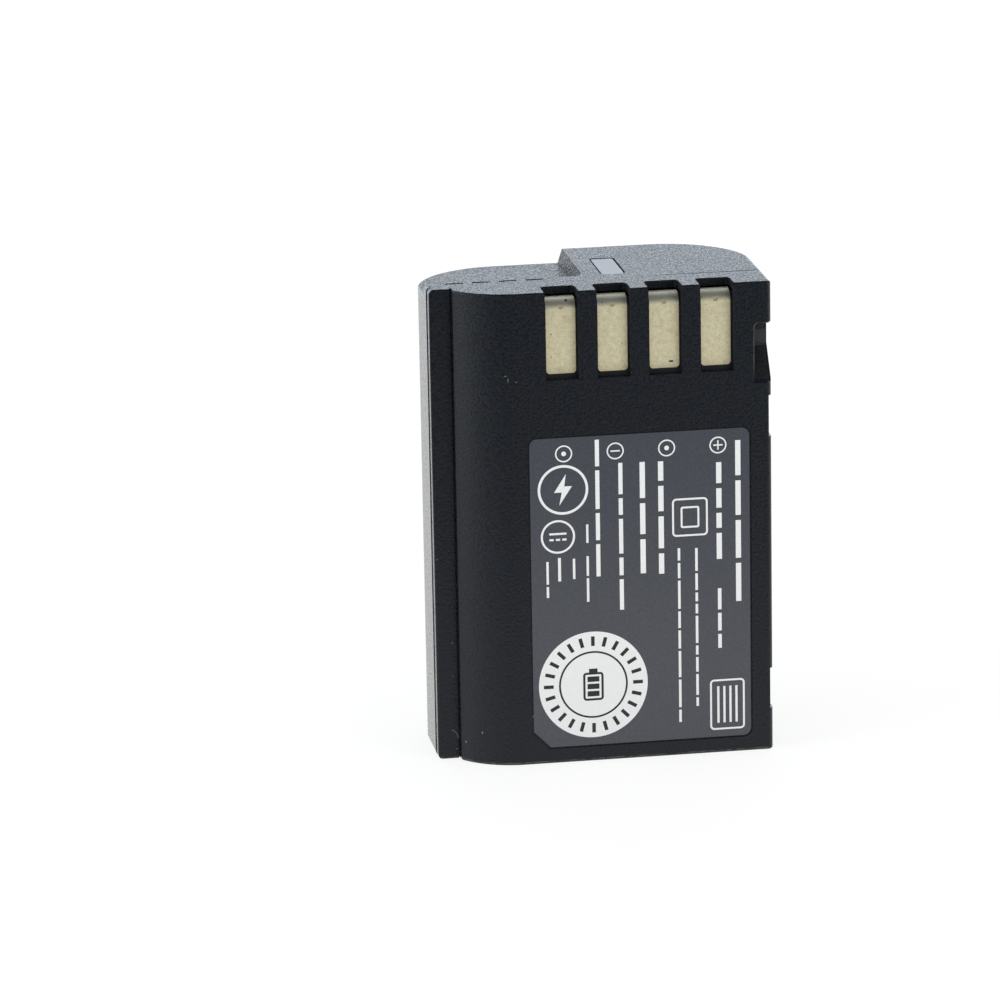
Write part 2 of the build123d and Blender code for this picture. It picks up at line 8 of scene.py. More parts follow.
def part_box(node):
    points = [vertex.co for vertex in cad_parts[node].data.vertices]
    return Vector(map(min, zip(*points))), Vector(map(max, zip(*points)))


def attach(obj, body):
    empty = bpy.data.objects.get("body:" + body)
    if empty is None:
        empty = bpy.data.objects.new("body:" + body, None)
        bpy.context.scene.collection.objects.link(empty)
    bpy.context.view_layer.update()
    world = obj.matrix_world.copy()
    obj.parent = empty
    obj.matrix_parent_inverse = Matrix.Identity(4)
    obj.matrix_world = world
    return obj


# Two-cell camera battery, dressed from the inside out: cells, strips and board, contacts, case, plug, label.
# Metres. The contacts face -Y, +Z is up and +X is right.

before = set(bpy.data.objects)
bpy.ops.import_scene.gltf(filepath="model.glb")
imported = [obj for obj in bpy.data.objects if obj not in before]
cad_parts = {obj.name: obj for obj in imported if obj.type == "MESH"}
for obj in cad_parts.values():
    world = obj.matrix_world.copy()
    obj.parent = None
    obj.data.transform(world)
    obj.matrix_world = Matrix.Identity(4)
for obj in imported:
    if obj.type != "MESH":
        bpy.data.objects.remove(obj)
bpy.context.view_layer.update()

# Cells, sleeves and paper rings
# Two round steel cans with crimped necks, each in a blue shrink sleeve, with a fibre paper ring under the
# button. They are pressed between the case halves and never seen from outside.

MM = 0.001
CAN_DARK = (0.42, 0.42, 0.41)
CAN_LIGHT = (0.60, 0.60, 0.58)
SLEEVE_DARK = (0.03, 0.11, 0.20)
SLEEVE_LIGHT = (0.05, 0.16, 0.28)
PAPER_DARK = (0.55, 0.52, 0.44)
PAPER_LIGHT = (0.72, 0.70, 0.62)
# Most of a noise texture lies between these two values.
NOISE_LOW = 0.35
NOISE_HIGH = 0.65


def feed(source, target):
    """Give an input a plain value, or link it to an output."""
    if isinstance(source, bpy.types.NodeSocket):
        target.id_data.links.new(source, target)
    else:
        target.default_value = source


def add_node(owner, kind, inputs=None, **settings):
    """New node in a material, a world or a tree, with its settings and what its inputs are fed."""
    node = getattr(owner, "node_tree", owner).nodes.new(kind)
    for name, setting in settings.items():
        setattr(node, name, setting)
    for name, source in (inputs or {}).items():
        feed(source, node.inputs[name])
    return node


def socket(material, name):
    """One input of a material's shader."""
    return material.node_tree.nodes["Principled BSDF"].inputs[name]


def finish(name, roughness, metallic=0.0, ior=1.45):
    """New material with the constant sockets of its shader set."""
    material = bpy.data.materials.new(name)
    material.use_nodes = True
    for key, value in (("Roughness", roughness), ("Metallic", metallic), ("IOR", ior)):
        socket(material, key).default_value = value
    return material


def place_in(material):
    """Object coordinates of the piece."""
    return add_node(material, "ShaderNodeTexCoord").outputs["Object"]


def noise(material, grain, stretch=(1, 1, 1), detail=2.0):
    """Noise whose blotches are about as large as the grain, in metres."""
    mapping = add_node(material, "ShaderNodeMapping", {"Vector": place_in(material), "Scale": stretch})
    texture = add_node(material, "ShaderNodeTexNoise", {
        "Vector": mapping.outputs["Vector"], "Scale": 1 / grain, "Detail": detail})
    return texture.outputs["Fac"]


def ramp(material, value, low, high, low_at=NOISE_LOW, high_at=NOISE_HIGH):
    """Colours from low to high as a value rises between two marks."""
    node = add_node(material, "ShaderNodeValToRGB", {"Fac": value})
    for element, place, colour in zip(node.color_ramp.elements, (low_at, high_at), (low, high)):
        element.position = place
        element.color = (*colour, 1)
    return node.outputs["Color"]


def bump(material, value, height):
    """Bump of a given height in metres on the shader's normal."""
    node = add_node(material, "ShaderNodeBump", {"Height": value, "Distance": height, "Strength": 1.0})
    feed(node.outputs["Normal"], socket(material, "Normal"))


def mottled(name, low, high, grain, height, roughness, metallic=0.0, stretch=(1, 1, 1)):
    """Plain stock of one material: its colour drifts a little and its surface has a fine tooth."""
    material = finish(name, roughness, metallic)
    value = noise(material, grain, stretch)
    feed(ramp(material, value, low, high), socket(material, "Base Color"))
    bump(material, value, height)
    return material


def dress(material, *names):
    """Give CAD nodes their material."""
    for name in names:
        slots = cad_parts[name].data.materials
        slots.clear()
        slots.append(material)


rolled_steel = mottled("rolled_steel", CAN_DARK, CAN_LIGHT, grain=1.2 * MM, height=0.01 * MM,
                       roughness=0.32, metallic=1.0, stretch=(1, 1, 6))
shrink_sleeve = mottled("shrink_sleeve", SLEEVE_DARK, SLEEVE_LIGHT, grain=2.0 * MM, height=0.01 * MM,
                        roughness=0.35)
fibre_paper = mottled("fibre_paper", PAPER_DARK, PAPER_LIGHT, grain=0.25 * MM, height=0.02 * MM,
                      roughness=0.85)
dress(rolled_steel, "cell_left", "cell_right")
dress(shrink_sleeve, "sleeve_left", "sleeve_right")
dress(fibre_paper, "ring_left", "ring_right")

# Nickel strips, insulating sheets and foam
# Strips of pure nickel are spot-welded to the cell ends. Fish-paper sheets keep them off the case and the
# board, and a strip of grey foam takes up the play behind the cells.

NICKEL_DARK = (0.52, 0.50, 0.46)
NICKEL_LIGHT = (0.66, 0.64, 0.59)
SHEET_DARK = (0.30, 0.36, 0.30)
SHEET_LIGHT = (0.40, 0.46, 0.39)
FOAM_DARK = (0.05, 0.05, 0.055)
FOAM_LIGHT = (0.12, 0.12, 0.125)

nickel_strip = mottled("nickel_strip", NICKEL_DARK, NICKEL_LIGHT, grain=0.6 * MM, height=0.01 * MM,
                       roughness=0.30, metallic=1.0, stretch=(6, 1, 1))
fish_paper = mottled("fish_paper", SHEET_DARK, SHEET_LIGHT, grain=0.4 * MM, height=0.02 * MM, roughness=0.8)
closed_foam = mottled("closed_foam", FOAM_DARK, FOAM_LIGHT, grain=0.3 * MM, height=0.08 * MM, roughness=0.9)
dress(nickel_strip, "series_link", "midpoint_tab", "positive_tab", "negative_tab")
dress(fish_paper, "bottom_insulator", "top_insulator")
dress(closed_foam, "cell_pad")

# Protection board
# A glass-laminate board under green resist, with moulded chips, two chip parts with end caps and a
# resin-dipped thermistor bead. It lies over the cells on its insulating sheet.

RESIST_DARK = (0.010, 0.070, 0.035)
RESIST_LIGHT = (0.018, 0.105, 0.050)
CHIP_DARK = (0.012, 0.012, 0.013)
CHIP_LIGHT = (0.026, 0.026, 0.027)
BEAD_DARK = (0.02, 0.02, 0.06)
BEAD_LIGHT = (0.035, 0.035, 0.10)

green_resist = mottled("green_resist", RESIST_DARK, RESIST_LIGHT, grain=1.0 * MM, height=0.01 * MM,
                       roughness=0.35)
moulded_chip = mottled("moulded_chip", CHIP_DARK, CHIP_LIGHT, grain=0.1 * MM, height=0.01 * MM,
                       roughness=0.5)
dipped_resin = mottled("dipped_resin", BEAD_DARK, BEAD_LIGHT, grain=0.5 * MM, height=0.02 * MM,
                       roughness=0.25)
dress(green_resist, "circuit_board")
dress(moulded_chip, "protection_ic", "gauge_ic", "charge_switch", "discharge_switch", "sense_resistor",
      "chip_fuse")
dress(dipped_resin, "thermistor")

# Terminal block
# Glass-filled black holder behind the front wall. The contacts are pressed into its pockets, and it shows
# only as the dark floor of the slots.

BLOCK_DARK = (0.004, 0.004, 0.005)
BLOCK_LIGHT = (0.008, 0.008, 0.009)

filled_nylon = mottled("filled_nylon", BLOCK_DARK, BLOCK_LIGHT, grain=0.2 * MM, height=0.02 * MM,
                       roughness=0.55)
dress(filled_nylon, "terminal_block")

# Contacts
# Four stamped springs with a sand-blasted pale-gold plating, bent over the block at the top. Use has left
# dark specks, a few nicks and a brownish tarnish at the bend and the lower ends. A grey band over the bend
# is painted shade that dims its highlight.

CONTACTS = ("contact_data", "contact_negative", "contact_thermistor", "contact_positive")
PLATING_PALE = (0.92, 0.845, 0.59)
PLATING_WARM = (0.835, 0.755, 0.505)
PLATING_ROUGHNESS = 0.55
PLATING_GRAIN = 0.6 * MM
PALE_AT = 0.6
BLAST_GRAIN = 0.17 * MM
BLAST_DETAIL = 3.0
BLAST_HEIGHT = 0.004 * MM
# Tarnish: some in the pits of the blasting, and blotches where a coarser noise is high.
TARNISH = (0.40, 0.29, 0.12)
PIT_SHARE = 0.22
BLOTCH_SHARE = 0.30
BLOTCH_GRAIN = 2.0 * MM
BLOTCH_DETAIL = 4.0
BLOTCH_FROM = 0.58
BLOTCH_TO = 0.75
# Grey band over the bend, which is painted shade that dims its highlight, and brown stain at the foot.
BEND_SHADE = (0.44, 0.41, 0.335)
BEND_FROM_TOP = 0.40 * MM
BEND_REACH = 0.80 * MM
BEND_SHARE = 0.75
FOOT_REACH = 0.9 * MM
FOOT_SHARE = 0.30
# Stake mark below the bend of each contact: its place, half width and half height.
STAKE_FROM_TOP = 0.95 * MM
STAKE_WIDE = 0.22 * MM
STAKE_TALL = 0.30 * MM
STAKE_SHARE = 0.45
# Dark specks, and nicks in millimetres: x, height over the lower end, half width and half height.
SPECK = (0.03, 0.025, 0.02)
SPECK_PITCH = 0.4 * MM
SPECK_REACH = 0.26
SPECK_SHARE = 0.16
NICKS = ((7.95, 0.75, 0.32, 0.12), (-4.1, 8.45, 0.15, 0.13), (-5.94, 1.95, 0.07, 0.07),
         (-5.94, 4.64, 0.09, 0.09), (9.05, 3.3, 0.07, 0.14), (2.3, 3.2, 0.06, 0.08))
# A spot fades out between these squared distances in half sizes, and a band from this share of its reach.
SPOT_CORE = 0.5
SPOT_EDGE = 1.1
BAND_CORE = 0.4
# Numbers of the colour sockets of a Mix node, because its other kinds share their names.
MIX_BELOW = 6
MIX_ABOVE = 7
MIX_COLOUR = 2


def maths(owner, operation, *values):
    """Math node on outputs or numbers."""
    return add_node(owner, "ShaderNodeMath", dict(enumerate(values)), operation=operation).outputs["Value"]


def combined(owner, operation, values):
    """Several outputs or numbers brought to one, two at a time."""
    total, *rest = values
    for value in rest:
        total = maths(owner, operation, total, value)
    return total


def most(owner, *values):
    """Largest of several outputs."""
    return combined(owner, "MAXIMUM", values)


def product(owner, *values):
    """Product of several outputs or numbers."""
    return combined(owner, "MULTIPLY", values)


def over(material, value, edge):
    """One where a value is over an edge, and nought elsewhere."""
    return maths(material, "GREATER_THAN", value, edge)


def under(material, value, edge):
    """One where a value is under an edge, and nought elsewhere."""
    return maths(material, "LESS_THAN", value, edge)


def fade(material, value, start, end, below=0.0, above=1.0):
    """Value that runs evenly from below to above between two marks and is held outside them."""
    return add_node(material, "ShaderNodeMapRange", {
        "Value": value, "From Min": start, "From Max": end, "To Min": below, "To Max": above,
    }).outputs["Result"]


def part_of(material, vector, axis):
    """One of the three numbers of a vector."""
    return add_node(material, "ShaderNodeSeparateXYZ", {"Vector": vector}).outputs[axis]


def coordinate(material, axis):
    """One of the object coordinates of the piece."""
    return part_of(material, place_in(material), axis)


def specks(material, pitch, reach, share):
    """One where a sparse round speck lies, and nought elsewhere."""
    cells = add_node(material, "ShaderNodeTexVoronoi", {"Vector": place_in(material), "Scale": 1 / pitch})
    chosen = add_node(material, "ShaderNodeSeparateColor", {"Color": cells.outputs["Color"]})
    size = product(material, chosen.outputs["Green"], reach)
    return product(material, under(material, cells.outputs["Distance"], size),
                   under(material, chosen.outputs["Red"], share))


def square_away(material, x, z, wide=1.0, tall=1.0):
    """Square of the distance from a place on the front, in half widths and half heights."""
    squares = []
    for axis, middle, half in (("X", x, wide), ("Z", z, tall)):
        away = maths(material, "SUBTRACT", coordinate(material, axis), middle)
        shares = maths(material, "DIVIDE", away, half)
        squares.append(product(material, shares, shares))
    return maths(material, "ADD", *squares)


def spot(material, x, z, wide, tall):
    """One inside a soft oval round a place on the front, and nought outside it."""
    return fade(material, square_away(material, x, z, wide, tall), SPOT_CORE, SPOT_EDGE, 1.0, 0.0)


def spots(material, places, base=0.0):
    """One inside any of several ovals, given in millimetres over a base."""
    return most(material, *[spot(material, x * MM, base + z * MM, wide * MM, tall * MM)
                            for x, z, wide, tall in places])


def band(material, value, middle, reach):
    """One at the middle of a band, fading to nought at its edges."""
    away = maths(material, "ABSOLUTE", maths(material, "SUBTRACT", value, middle))
    return fade(material, away, BAND_CORE * reach, reach, 1.0, 0.0)


def paint(material, ground, *coats):
    """Base colour: a ground with coats over it in turn, each one a mask and a colour."""
    for mask, colour in coats:
        mixed = add_node(material, "ShaderNodeMix", {
            "Factor": mask, MIX_BELOW: ground, MIX_ABOVE: (*colour, 1)}, data_type="RGBA")
        ground = mixed.outputs[MIX_COLOUR]
    feed(ground, socket(material, "Base Color"))


contact_boxes = [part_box(name) for name in CONTACTS]
contact_middles = [(low.x + high.x) / 2 for low, high in contact_boxes]
first_low, first_high = contact_boxes[0]
contact_low = first_low.z
contact_high = first_high.z
contact_width = first_high.x - first_low.x

plating = finish("pale_gold_plating", PLATING_ROUGHNESS, metallic=1.0)
blasted = noise(plating, BLAST_GRAIN, detail=BLAST_DETAIL)
drift = ramp(plating, noise(plating, PLATING_GRAIN), PLATING_WARM, PLATING_PALE, high_at=PALE_AT)
pitted = fade(plating, blasted, NOISE_LOW, PALE_AT, PIT_SHARE, 0.0)
blotched = fade(plating, noise(plating, BLOTCH_GRAIN, detail=BLOTCH_DETAIL), BLOTCH_FROM, BLOTCH_TO,
                0.0, BLOTCH_SHARE)
height = coordinate(plating, "Z")
# Painted shade: a grey band over the bend dims its highlight.
bend_shade = product(plating, band(plating, height, contact_high - BEND_FROM_TOP, BEND_REACH), BEND_SHARE)
drained = product(plating, fade(plating, height, contact_low, contact_low + FOOT_REACH, FOOT_SHARE, 0.0),
                  noise(plating, PLATING_GRAIN))
stakes = most(plating, *[spot(plating, middle, contact_high - STAKE_FROM_TOP, STAKE_WIDE, STAKE_TALL)
                         for middle in contact_middles])
browned = most(plating, drained, product(plating, stakes, STAKE_SHARE))
dirty = most(plating, specks(plating, SPECK_PITCH, SPECK_REACH, SPECK_SHARE),
             spots(plating, NICKS, contact_low))
paint(plating, drift, (pitted, TARNISH), (blotched, TARNISH), (bend_shade, BEND_SHADE), (browned, TARNISH),
      (dirty, SPECK))
bump(plating, blasted, BLAST_HEIGHT)
dress(plating, *CONTACTS)

# Case halves
# Two black polycarbonate mouldings, welded at the seam round the sides. The tool was spark-eroded all over,
# so the plastic has a fine matt grain that goes grey at a flat angle.

CASE_DARK = (0.0002, 0.0010, 0.0036)
CASE_LIGHT = (0.0040, 0.0072, 0.0120)
CASE_SMOOTHEST = 0.24
CASE_ROUGHEST = 0.48
CASE_IOR = 1.35
CASE_GLOSS = 0.5
CASE_SHEEN = 0.04
CASE_SHEEN_ROUGHNESS = 0.35
CASE_SHEEN_TINT = (0.86, 0.94, 1.0)
# Grain of the faces that look up and of the walls. One gives way to the other between two upward slopes.
GRAIN = 0.22 * MM
GRAIN_STRETCH = (1, 0.5, 1)
WALL_GRAIN = 0.30 * MM
WALL_STRETCH = (1, 0.6, 1)
GRAIN_DETAIL = 3.0
GRAIN_HEIGHT = 0.16 * MM
WALL_SLOPE = 0.5
TOP_SLOPE = 0.8
# The grain is rubbed down on the outermost faces of the sides, and less so on faces that look forward.
SIDE_FROM = 19.1 * MM
SIDE_TO = 19.35 * MM
SIDE_BUMP = 0.32
SIDE_ROUGHNESS = 0.5
FRONT_SLOPE = -0.5
OTHER_SLOPE = -0.25
FRONT_BUMP = 0.55
# Pale line along the lower rim, broken up by a noise: partly scuffing, partly a painted highlight of the
# rounded rim.
SCUFF_AND_HIGHLIGHT = (0.12, 0.105, 0.090)
RIM_HEIGHT = 0.26 * MM
RIM_REACH = 0.10 * MM
RIM_GRAIN = 0.8 * MM
RIM_FULL_AT = 0.6
RIM_SHARE = 0.7
# Curved scuff on the rail: middle of its arc, radius, half width and where it starts.
ARC_X = -18.2 * MM
ARC_Z = 2.49 * MM
ARC_RADIUS = 1.08 * MM
ARC_REACH = 0.09 * MM
ARC_FROM = -17.8 * MM
# Dust specks, and pale chips in millimetres: x, z, half width and half height.
DUST = (0.20, 0.20, 0.19)
DUST_PITCH = 1.6 * MM
DUST_REACH = 0.06
DUST_SHARE = 0.06
CHIPS = ((-16.37, 2.4, 0.08, 0.13), (-17.3, 1.2, 0.06, 0.08), (-10.2, 45.85, 0.06, 0.07),
         (-11.1, 46.1, 0.04, 0.30), (-11.4, 46.6, 0.16, 0.04), (-14.65, 3.85, 0.08, 0.13),
         (-8.86, 5.8, 0.08, 0.12))
# Chips and the arc lie no deeper behind the front than this.
MARKS_TO = 4.6 * MM
# Latch notch, painted light: its faces that look forward are paler, and its upper wall paler still. Its left
# end and depth behind the front, and the heights between which its upper wall is painted paler.
NOTCH_PAINTED_LIGHT = (0.012, 0.0125, 0.0135)
LATCH_WALL_LIGHT = (0.036, 0.039, 0.041)
LATCH_SLOPE = -0.7
LATCH_FROM = 17.2 * MM
LATCH_DEPTH = 0.5 * MM
LATCH_LOW = 47.95 * MM
LATCH_HIGH = 49.8 * MM
# Painted shade inside the contact slots, a darker colour and less gloss: room beside and below a contact,
# and depths behind the front.
SLOT_BESIDE = 0.3 * MM
SLOT_BELOW = 0.7 * MM
SLOT_FROM = 0.08 * MM
SLOT_TO = 2.6 * MM
SLOT_ROUGHNESS = 0.9
SLOT_GLOSS = 0.15
SLOT_SHADE = (0.0022, 0.0026, 0.0034)

shell = finish("grained_black_case", CASE_SMOOTHEST, ior=CASE_IOR)
socket(shell, "Sheen Weight").default_value = CASE_SHEEN
socket(shell, "Sheen Roughness").default_value = CASE_SHEEN_ROUGHNESS
socket(shell, "Sheen Tint").default_value = (*CASE_SHEEN_TINT, 1)

front_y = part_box("front_case")[0].y
across = coordinate(shell, "X")
depth = coordinate(shell, "Y")
height = coordinate(shell, "Z")
outward = maths(shell, "ABSOLUTE", across)
normal = add_node(shell, "ShaderNodeNewGeometry").outputs["True Normal"]
forward_slope = part_of(shell, normal, "Y")
upward_slope = part_of(shell, normal, "Z")

# Painted shade in the slots: their insides get a darker colour and less gloss.
slot_reach = contact_width / 2 + SLOT_BESIDE
in_slot = product(
    shell, most(shell, *[maths(shell, "COMPARE", across, middle, slot_reach) for middle in contact_middles]),
    over(shell, height, contact_low - SLOT_BELOW), over(shell, depth, front_y + SLOT_FROM),
    under(shell, depth, front_y + SLOT_TO))

erosion = fade(shell, upward_slope, WALL_SLOPE, TOP_SLOPE,
               noise(shell, WALL_GRAIN, WALL_STRETCH, GRAIN_DETAIL),
               noise(shell, GRAIN, GRAIN_STRETCH, GRAIN_DETAIL))
tooth = product(shell, fade(shell, erosion, NOISE_LOW, NOISE_HIGH, CASE_SMOOTHEST, CASE_ROUGHEST),
                fade(shell, outward, SIDE_FROM, SIDE_TO, 1.0, SIDE_ROUGHNESS))
feed(most(shell, tooth, product(shell, in_slot, SLOT_ROUGHNESS)), socket(shell, "Roughness"))
feed(fade(shell, in_slot, 0.0, 1.0, CASE_GLOSS, SLOT_GLOSS), socket(shell, "Specular IOR Level"))
relief = product(shell, erosion, fade(shell, outward, SIDE_FROM, SIDE_TO, 1.0, SIDE_BUMP),
                 fade(shell, forward_slope, FRONT_SLOPE, OTHER_SLOPE, FRONT_BUMP, 1.0))
bump(shell, relief, GRAIN_HEIGHT)

on_front = under(shell, depth, front_y + MARKS_TO)
# Pale line along the lower rim: partly wear, partly a painted highlight.
rim = product(shell, band(shell, height, RIM_HEIGHT, RIM_REACH),
              fade(shell, noise(shell, RIM_GRAIN), NOISE_LOW, RIM_FULL_AT, 0.0, RIM_SHARE))
from_arc = maths(shell, "SQRT", square_away(shell, ARC_X, ARC_Z))
arc = product(shell, band(shell, from_arc, ARC_RADIUS, ARC_REACH), over(shell, across, ARC_FROM),
              over(shell, height, ARC_Z), on_front)
# Painted light: the notch's faces that look forward are paler, and its upper wall paler still.
in_notch = product(shell, under(shell, forward_slope, LATCH_SLOPE), over(shell, across, LATCH_FROM),
                   over(shell, depth, front_y + LATCH_DEPTH))
lit_latch_wall = product(shell, in_notch, over(shell, height, LATCH_LOW), under(shell, height, LATCH_HIGH))
dusted = most(shell, product(shell, on_front, spots(shell, CHIPS)),
              specks(shell, DUST_PITCH, DUST_REACH, DUST_SHARE))
plain = ramp(shell, erosion, CASE_DARK, CASE_LIGHT)
# Among the coats, the rim line is partly a painted highlight, the notch is painted light and the slots
# shade.
paint(shell, plain, (most(shell, rim, arc), SCUFF_AND_HIGHLIGHT), (in_notch, NOTCH_PAINTED_LIGHT), (lit_latch_wall, LATCH_WALL_LIGHT),
      (dusted, DUST), (in_slot, SLOT_SHADE))
dress(shell, "front_case", "rear_case")

# Plug in the raised top
# Small smooth plug of a paler plastic. It is pressed flush into its pocket in the rear half, with a dark gap
# left round it.

PLUG_DARK = (0.085, 0.100, 0.125)
PLUG_LIGHT = (0.098, 0.116, 0.144)

pale_plug = mottled("smooth_pale_plug", PLUG_DARK, PLUG_LIGHT, grain=1.5 * MM, height=0.004 * MM,
                    roughness=0.33)
dress(pale_plug, "seal_plate")

# Label film
# Charcoal polyester film with a satin face. It is die-cut with round corners and one cut corner, and laid
# with a thin adhesive in the recess of the front.

FILM_DARK = (0.050, 0.054, 0.066)
FILM_LIGHT = (0.063, 0.068, 0.082)

charcoal_film = mottled("charcoal_film", FILM_DARK, FILM_LIGHT, grain=0.18 * MM, height=0.006 * MM,
                        roughness=0.18)
dress(charcoal_film, "front_label")

# Print on the label
# Pale ink, screen-printed on the film before it is cut: rows of plain bars, ring marks under the contacts
# with a minus and a plus, and plain signs in two rings and two frames.

INK_DARK = (0.85, 0.85, 0.835)
INK_LIGHT = (0.93, 0.93, 0.915)
INK_THICKNESS = 0.010 * MM
INK_SUNK = 0.004 * MM
# Rows of bars in millimetres: middle in x, start and end in z, height of the bars.
BOLD_ROWS = ((15.5, 37.55, 17.15, 0.62), (13.25, 35.05, 22.35, 0.62), (6.45, 35.55, 21.95, 0.62),
             (4.3, 35.6, 19.35, 0.62), (1.75, 35.65, 18.05, 0.48), (-0.95, 38.55, 18.45, 0.48))
FINE_ROWS = ((13.25, 19.95, 9.85, 0.42), (10.55, 24.95, 3.15, 0.30), (8.5, 25.05, 2.85, 0.30),
             (-2.2, 28.55, 25.75, 0.26), (-2.2, 24.75, 18.75, 0.28), (-3.8, 24.55, 20.75, 0.28),
             (-5.5, 24.75, 21.15, 0.34), (-6.9, 24.35, 18.55, 0.28))
# Shortest and longest bars in millimetres, the gap as a share of the height, and bars tried in a row.
BOLD_LENGTHS = (1.6, 4.6)
FINE_LENGTHS = (0.9, 3.4)
GAP_SHARE = 1.0
MOST_BARS = 24
# Numbers of the float sockets of a Random Value node, because its other kinds share their names.
CHANCE_LEAST = 2
CHANCE_MOST = 3
CHANCE_VALUE = 1

pale_ink = mottled("pale_ink", INK_DARK, INK_LIGHT, grain=0.12 * MM, height=0.002 * MM, roughness=0.5)
film_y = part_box("front_label")[0].y
ink_layer = (film_y + INK_SUNK, film_y - INK_THICKNESS)


def new_tree(name, sizes):
    """New tree with named inputs: the tree, what its input node gives, and the inputs' identifiers."""
    tree = bpy.data.node_groups.new(name, "GeometryNodeTree")
    identifiers = {}
    for size, kind in sizes.items():
        added = tree.interface.new_socket(size, in_out="INPUT", socket_type="NodeSocket" + kind)
        identifiers[size] = added.identifier
    tree.interface.new_socket("Geometry", in_out="OUTPUT", socket_type="NodeSocketGeometry")
    return tree, add_node(tree, "NodeGroupInput").outputs, identifiers


def vector_of(tree, x, y, z):
    """Vector of three outputs or numbers."""
    return add_node(tree, "ShaderNodeCombineXYZ", {"X": x, "Y": y, "Z": z}).outputs["Vector"]


def lay_marks(tree, points, mark, ink, placing):
    """End of a tree: a mark set on each point, made real and given its ink."""
    laid = add_node(tree, "GeometryNodeInstanceOnPoints", {"Points": points, "Instance": mark, **placing})
    real = add_node(tree, "GeometryNodeRealizeInstances", {"Geometry": laid.outputs["Instances"]})
    inked = add_node(tree, "GeometryNodeSetMaterial", {
        "Geometry": real.outputs["Geometry"], "Material": ink})
    add_node(tree, "NodeGroupOutput", {"Geometry": inked.outputs["Geometry"]})


def bars_tree():
    """Row of bars, run down from the start: chance lengths with an even gap, up to the length of the row."""
    tree, given, identifiers = new_tree("row_of_bars", {
        "Row length": "Float", "Shortest": "Float", "Longest": "Float", "Gap": "Float", "Height": "Float",
        "Thickness": "Float", "Count": "Int", "Seed": "Int", "Ink": "Material"})
    line = add_node(tree, "GeometryNodeMeshLine", {"Count": given["Count"]})
    chance = add_node(tree, "FunctionNodeRandomValue", {
        CHANCE_LEAST: given["Shortest"], CHANCE_MOST: given["Longest"], "Seed": given["Seed"],
    }, data_type="FLOAT")
    length = chance.outputs[CHANCE_VALUE]
    run = add_node(tree, "GeometryNodeAccumulateField", {"Value": maths(tree, "ADD", length, given["Gap"])})
    end = maths(tree, "SUBTRACT", run.outputs["Leading"], given["Gap"])
    middle = maths(tree, "SUBTRACT", end, product(tree, length, 0.5))

    # The lengths and ends are kept on the points before any is deleted, because both hang on their numbers.
    points = line.outputs["Mesh"]
    for name, field in (("bar_length", length), ("bar_end", end)):
        points = add_node(tree, "GeometryNodeStoreNamedAttribute", {
            "Geometry": points, "Name": name, "Value": field}, data_type="FLOAT").outputs["Geometry"]

    def kept(name):
        """Value kept on the points under a name."""
        return add_node(tree, "GeometryNodeInputNamedAttribute", {"Name": name},
                        data_type="FLOAT").outputs["Attribute"]

    placed = add_node(tree, "GeometryNodeSetPosition", {
        "Geometry": points, "Position": vector_of(tree, 0, 0, product(tree, middle, -1))})
    fitting = add_node(tree, "GeometryNodeDeleteGeometry", {
        "Geometry": placed.outputs["Geometry"],
        "Selection": over(tree, kept("bar_end"), given["Row length"])})
    bar = add_node(tree, "GeometryNodeMeshCube", {
        "Size": vector_of(tree, given["Height"], given["Thickness"], 1)})
    lay_marks(tree, fitting.outputs["Geometry"], bar.outputs["Mesh"], given["Ink"],
              {"Scale": vector_of(tree, 1, 1, kept("bar_length"))})
    return tree, identifiers


def put_in_scene(name, data):
    """New object in the scene."""
    thing = bpy.data.objects.new(name, data)
    bpy.context.scene.collection.objects.link(thing)
    return thing


def grown(tree, identifiers, sizes):
    """Plain mesh that a tree gives for a set of named sizes."""
    holder = put_in_scene(tree.name, bpy.data.meshes.new(tree.name))
    modifier = holder.modifiers.new(tree.name, "NODES")
    modifier.node_group = tree
    for name, size in sizes.items():
        modifier[identifiers[name]] = size
    bpy.context.view_layer.update()
    evaluated = holder.evaluated_get(bpy.context.evaluated_depsgraph_get())
    mesh = bpy.data.meshes.new_from_object(evaluated)
    bpy.data.objects.remove(holder)
    return mesh


print_mesh = bmesh.new()
tree, identifiers = bars_tree()
rows = [(row, BOLD_LENGTHS) for row in BOLD_ROWS] + [(row, FINE_LENGTHS) for row in FINE_ROWS]
for number, ((x, start, end, tall), (shortest, longest)) in enumerate(rows):
    bars = grown(tree, identifiers, {
        "Row length": (start - end) * MM, "Shortest": shortest * MM, "Longest": longest * MM,
        "Gap": GAP_SHARE * tall * MM, "Height": tall * MM, "Thickness": INK_THICKNESS + INK_SUNK,
        "Count": MOST_BARS, "Seed": number, "Ink": pale_ink})
    bars.transform(Matrix.Translation((x * MM, sum(ink_layer) / 2, start * MM)))
    print_mesh.from_mesh(bars)
    bpy.data.meshes.remove(bars)

# Ring marks under the contacts: a minus and a plus under the power contacts, and dots under the other two.
ROUND_STEPS = 48
CORNER_STEPS = 6
SHARPEST_SHARE = 0.25
MARK_Z = 37.1 * MM
MARK_RADIUS = 1.0 * MM
MARK_STROKE = 0.16 * MM
SIGN_REACH = 0.55 * MM
SIGN_STROKE = 0.16 * MM
DOT_RADIUS = 0.28 * MM


def arc_points(x, z, radius, turns):
    """Points of a circle in the plane of the label, at turns in radians."""
    return [(x + radius * math.cos(turn), z + radius * math.sin(turn)) for turn in turns]


def circle(x, z, radius, steps=ROUND_STEPS):
    """Circle as a loop of points, anticlockwise."""
    return arc_points(x, z, radius, [2 * math.pi * step / steps for step in range(steps)])


